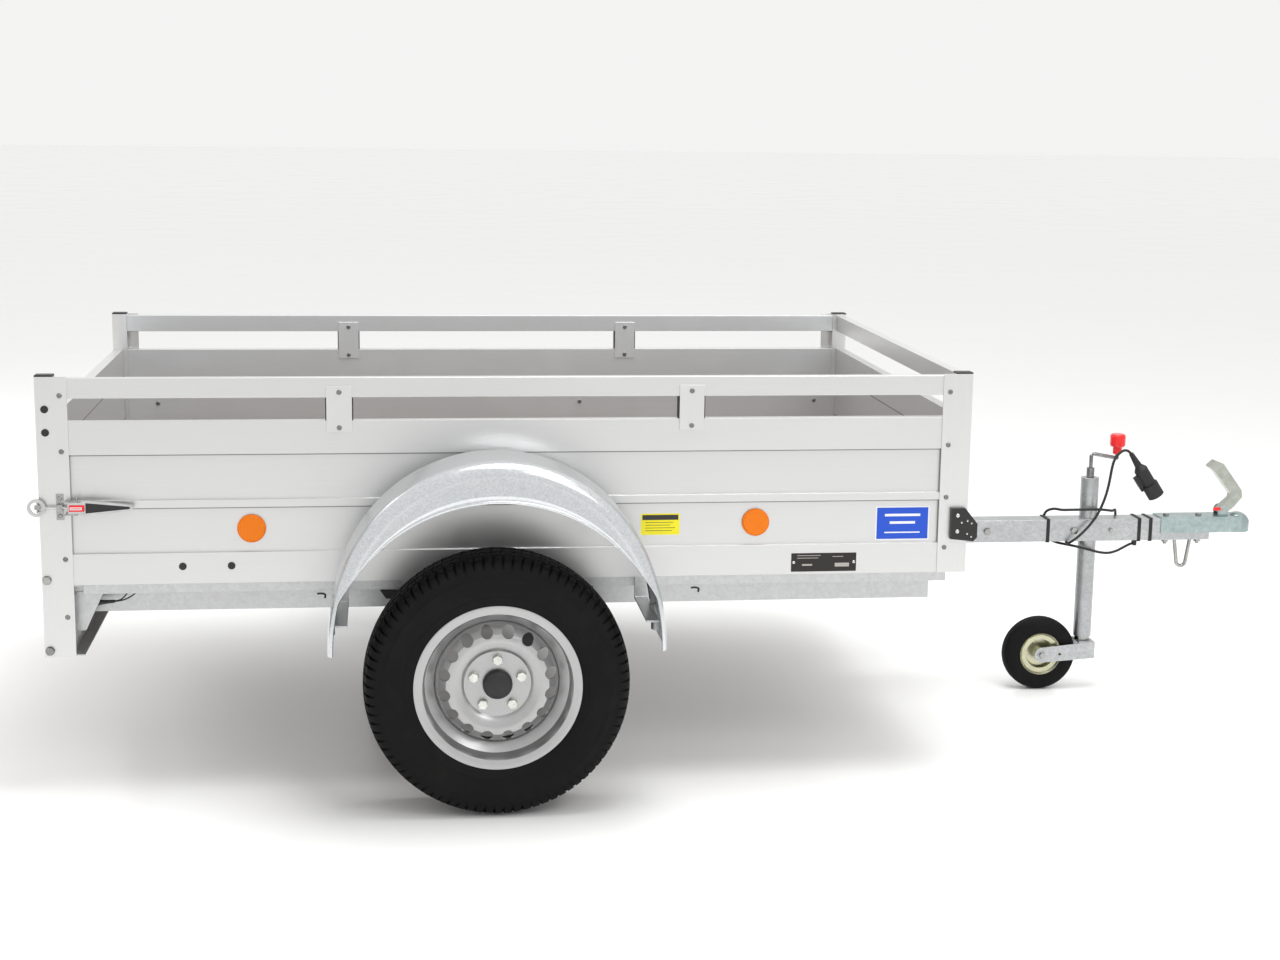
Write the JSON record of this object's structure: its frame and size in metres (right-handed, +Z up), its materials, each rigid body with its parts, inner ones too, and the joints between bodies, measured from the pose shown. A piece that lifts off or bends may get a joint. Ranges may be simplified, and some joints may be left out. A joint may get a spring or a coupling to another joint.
{
  "type": "livestock trailer",
  "caption": "Open single-axle box trailer with hollow aluminium boards, top rail, drop tailgate, rounded fenders, straight drawbar, jockey wheel and ball coupling.",
  "frame": {"origin": "centre of the bounding box on the ground, under the whole trailer", "axes": "+X forward to the ball coupling, +Y to the trailer's left side, +Z up; the side seen nearest in the picture is the right side, at -Y"},
  "size_m": [3.1403, 1.889, 0.965],
  "materials": {
    "board_aluminium": "satin extruded",
    "post_aluminium": "satin extruded",
    "ply_floor": "dark film-faced plywood",
    "galvanised": "hot-dip galvanised, faint spangle",
    "black_plastic": "moulded, matte",
    "black_steel": "black coated",
    "zinc_bolts": "zinc plated",
    "red_lens": "moulded lens",
    "orange_lens": "moulded lens",
    "axle_steel": "galvanised, dull",
    "rim_silver": "silver paint",
    "tyre_rubber": "matte",
    "black_rubber": "matte",
    "red_plastic": "moulded, glossy",
    "yellow_zinc": "yellow zinc passivated",
    "coupling_zinc": "clear zinc passivated",
    "chrome": "polished"
  },
  "bodies": {
    "chassis": {"floor_panel": "ply_floor", "side_board_right": "board_aluminium", "side_board_left": "board_aluminium", "front_board": "board_aluminium", "rear_posts": "post_aluminium", "front_posts": "post_aluminium", "post_caps": "black_plastic", "top_rails": "post_aluminium", "rail_brackets": "post_aluminium", "plastic_inserts": "black_plastic", "frame_screws": "zinc_bolts", "chassis_beams": "galvanised", "cross_members": "galvanised", "rear_beam": "galvanised", "tail_lamps": "red_lens", "side_reflectors": "orange_lens", "corner_brackets": "black_plastic", "drawbar": "galvanised", "drawbar_bolts": "zinc_bolts", "cable_straps": "black_rubber", "axle_tube": "axle_steel", "axle_brackets": "black_steel", "fender_right": "galvanised", "fender_left": "galvanised", "fender_stays": "galvanised", "jockey_outer_tube": "galvanised", "coupling_body": "coupling_zinc", "support_bar": "axle_steel", "connector_plug": "black_plastic", "connector_cable": "black_rubber", "latch_bases": "zinc_bolts"},
    "tailgate": {"tailgate": "board_aluminium", "tailgate_fittings": "zinc_bolts"},
    "latch_lever_right": {"latch_lever_right": "chrome"},
    "latch_lever_left": {"latch_lever_left": "chrome"},
    "latch_hook_right": {"latch_hook_right": "zinc_bolts"},
    "latch_hook_left": {"latch_hook_left": "zinc_bolts"},
    "latch_catch_right": {"latch_catch_right": "red_plastic"},
    "latch_catch_left": {"latch_catch_left": "red_plastic"},
    "swing_arm_right": {"swing_arm_right": "axle_steel"},
    "swing_arm_left": {"swing_arm_left": "axle_steel"},
    "wheel_right": {"hub_right": "axle_steel", "rim_right": "rim_silver", "tyre_right": "tyre_rubber", "wheel_bolts_right": "zinc_bolts", "centre_cap_right": "black_plastic"},
    "wheel_left": {"hub_left": "axle_steel", "rim_left": "rim_silver", "tyre_left": "tyre_rubber", "wheel_bolts_left": "zinc_bolts", "centre_cap_left": "black_plastic"},
    "jockey_crank": {"jockey_crank": "zinc_bolts"},
    "jockey_slide": {"jockey_inner_tube": "galvanised"},
    "jockey_knob": {"jockey_knob": "red_plastic"},
    "jockey_fork": {"jockey_fork": "yellow_zinc", "jockey_axle": "zinc_bolts"},
    "jockey_wheel": {"jockey_rim": "yellow_zinc", "jockey_tyre": "black_rubber"},
    "coupling_lever": {"coupling_lever": "coupling_zinc"},
    "coupling_jaw": {"coupling_jaw": "coupling_zinc"}
  },
  "joints": [
    {"name": "tailgate_hinge", "type": "hinge", "parent": "chassis", "child": "tailgate", "pos_m": [-1.53515, 0, 0.503], "axis": [0, -1, 0], "range_deg": [0, 165]},
    {"name": "latch_lever_right_hinge", "type": "hinge", "parent": "chassis", "child": "latch_lever_right", "pos_m": [-1.47415, -0.693, 0.67], "axis": [0, 0, -1], "range_deg": [0, 115]},
    {"name": "latch_hook_right_slide", "type": "slide", "parent": "chassis", "child": "latch_hook_right", "axis": [-1, 0, 0], "range_m": [0, 0.0121]},
    {"name": "latch_catch_right_hinge", "type": "hinge", "parent": "latch_lever_right", "child": "latch_catch_right", "pos_m": [-1.44665, -0.70215, 0.67], "axis": [0, 0, 1], "range_deg": [0, 8], "stiffness_Nm_per_rad": 0.4},
    {"name": "swing_arm_right_hinge", "type": "hinge", "parent": "chassis", "child": "swing_arm_right", "pos_m": [-0.39015, -0.683, 0.375], "axis": [0, 1, 0], "range_deg": [0, 25], "stiffness_Nm_per_rad": 1600, "springref_deg": -5.73},
    {"name": "wheel_right_spin", "type": "hinge", "parent": "swing_arm_right", "child": "wheel_right", "pos_m": [-0.54015, -0.84, 0.297], "axis": [0, 1, 0], "continuous": true},
    {"name": "latch_lever_left_hinge", "type": "hinge", "parent": "chassis", "child": "latch_lever_left", "pos_m": [-1.47415, 0.693, 0.67], "axis": [0, 0, 1], "range_deg": [0, 115]},
    {"name": "latch_hook_left_slide", "type": "slide", "parent": "chassis", "child": "latch_hook_left", "axis": [-1, 0, 0], "range_m": [0, 0.0121]},
    {"name": "latch_catch_left_hinge", "type": "hinge", "parent": "latch_lever_left", "child": "latch_catch_left", "pos_m": [-1.44665, 0.70215, 0.67], "axis": [0, 0, -1], "range_deg": [0, 8], "stiffness_Nm_per_rad": 0.4},
    {"name": "swing_arm_left_hinge", "type": "hinge", "parent": "chassis", "child": "swing_arm_left", "pos_m": [-0.39015, 0.683, 0.375], "axis": [0, 1, 0], "range_deg": [0, 25], "stiffness_Nm_per_rad": 1600, "springref_deg": -5.73},
    {"name": "wheel_left_spin", "type": "hinge", "parent": "swing_arm_left", "child": "wheel_left", "pos_m": [-0.54015, 0.84, 0.297], "axis": [0, 1, 0], "continuous": true},
    {"name": "jockey_crank_turn", "type": "hinge", "parent": "chassis", "child": "jockey_crank", "pos_m": [1.11385, 0, 0.6], "axis": [0, 0, 1], "range_deg": [-602, 10802]},
    {"name": "jockey_tube_slide", "type": "slide", "parent": "chassis", "child": "jockey_slide", "axis": [0, 0, -1], "range_m": [-0.01, 0.18]},
    {"name": "jockey_knob_turn", "type": "hinge", "parent": "jockey_crank", "child": "jockey_knob", "pos_m": [1.18585, 0, 0.68], "axis": [0, 0, 1], "continuous": true},
    {"name": "jockey_swivel", "type": "hinge", "parent": "jockey_slide", "child": "jockey_fork", "pos_m": [1.11385, 0, 0.14], "axis": [0, 0, 1], "continuous": true},
    {"name": "jockey_wheel_spin", "type": "hinge", "parent": "jockey_fork", "child": "jockey_wheel", "pos_m": [0.99185, 0, 0.1], "axis": [0, 1, 0], "continuous": true},
    {"name": "coupling_lever_hinge", "type": "hinge", "parent": "chassis", "child": "coupling_lever", "pos_m": [1.48985, 0, 0.4933], "axis": [0, -1, 0], "range_deg": [0, 62]},
    {"name": "coupling_jaw_hinge", "type": "hinge", "parent": "chassis", "child": "coupling_jaw", "pos_m": [1.49285, 0, 0.4613], "axis": [0, -1, 0], "range_deg": [0, 11.1]}
  ],
  "couplings": [
    {"joint": "jockey_crank_turn", "follows": "jockey_tube_slide", "rad_per_m": 1047.2},
    {"joint": "coupling_jaw_hinge", "follows": "coupling_lever_hinge", "ratio": 0.17742},
    {"joint": "latch_hook_right_slide", "follows": "latch_lever_right_hinge", "m_per_rad": 0.0059787},
    {"joint": "latch_hook_left_slide", "follows": "latch_lever_left_hinge", "m_per_rad": 0.0059787}
  ]
}
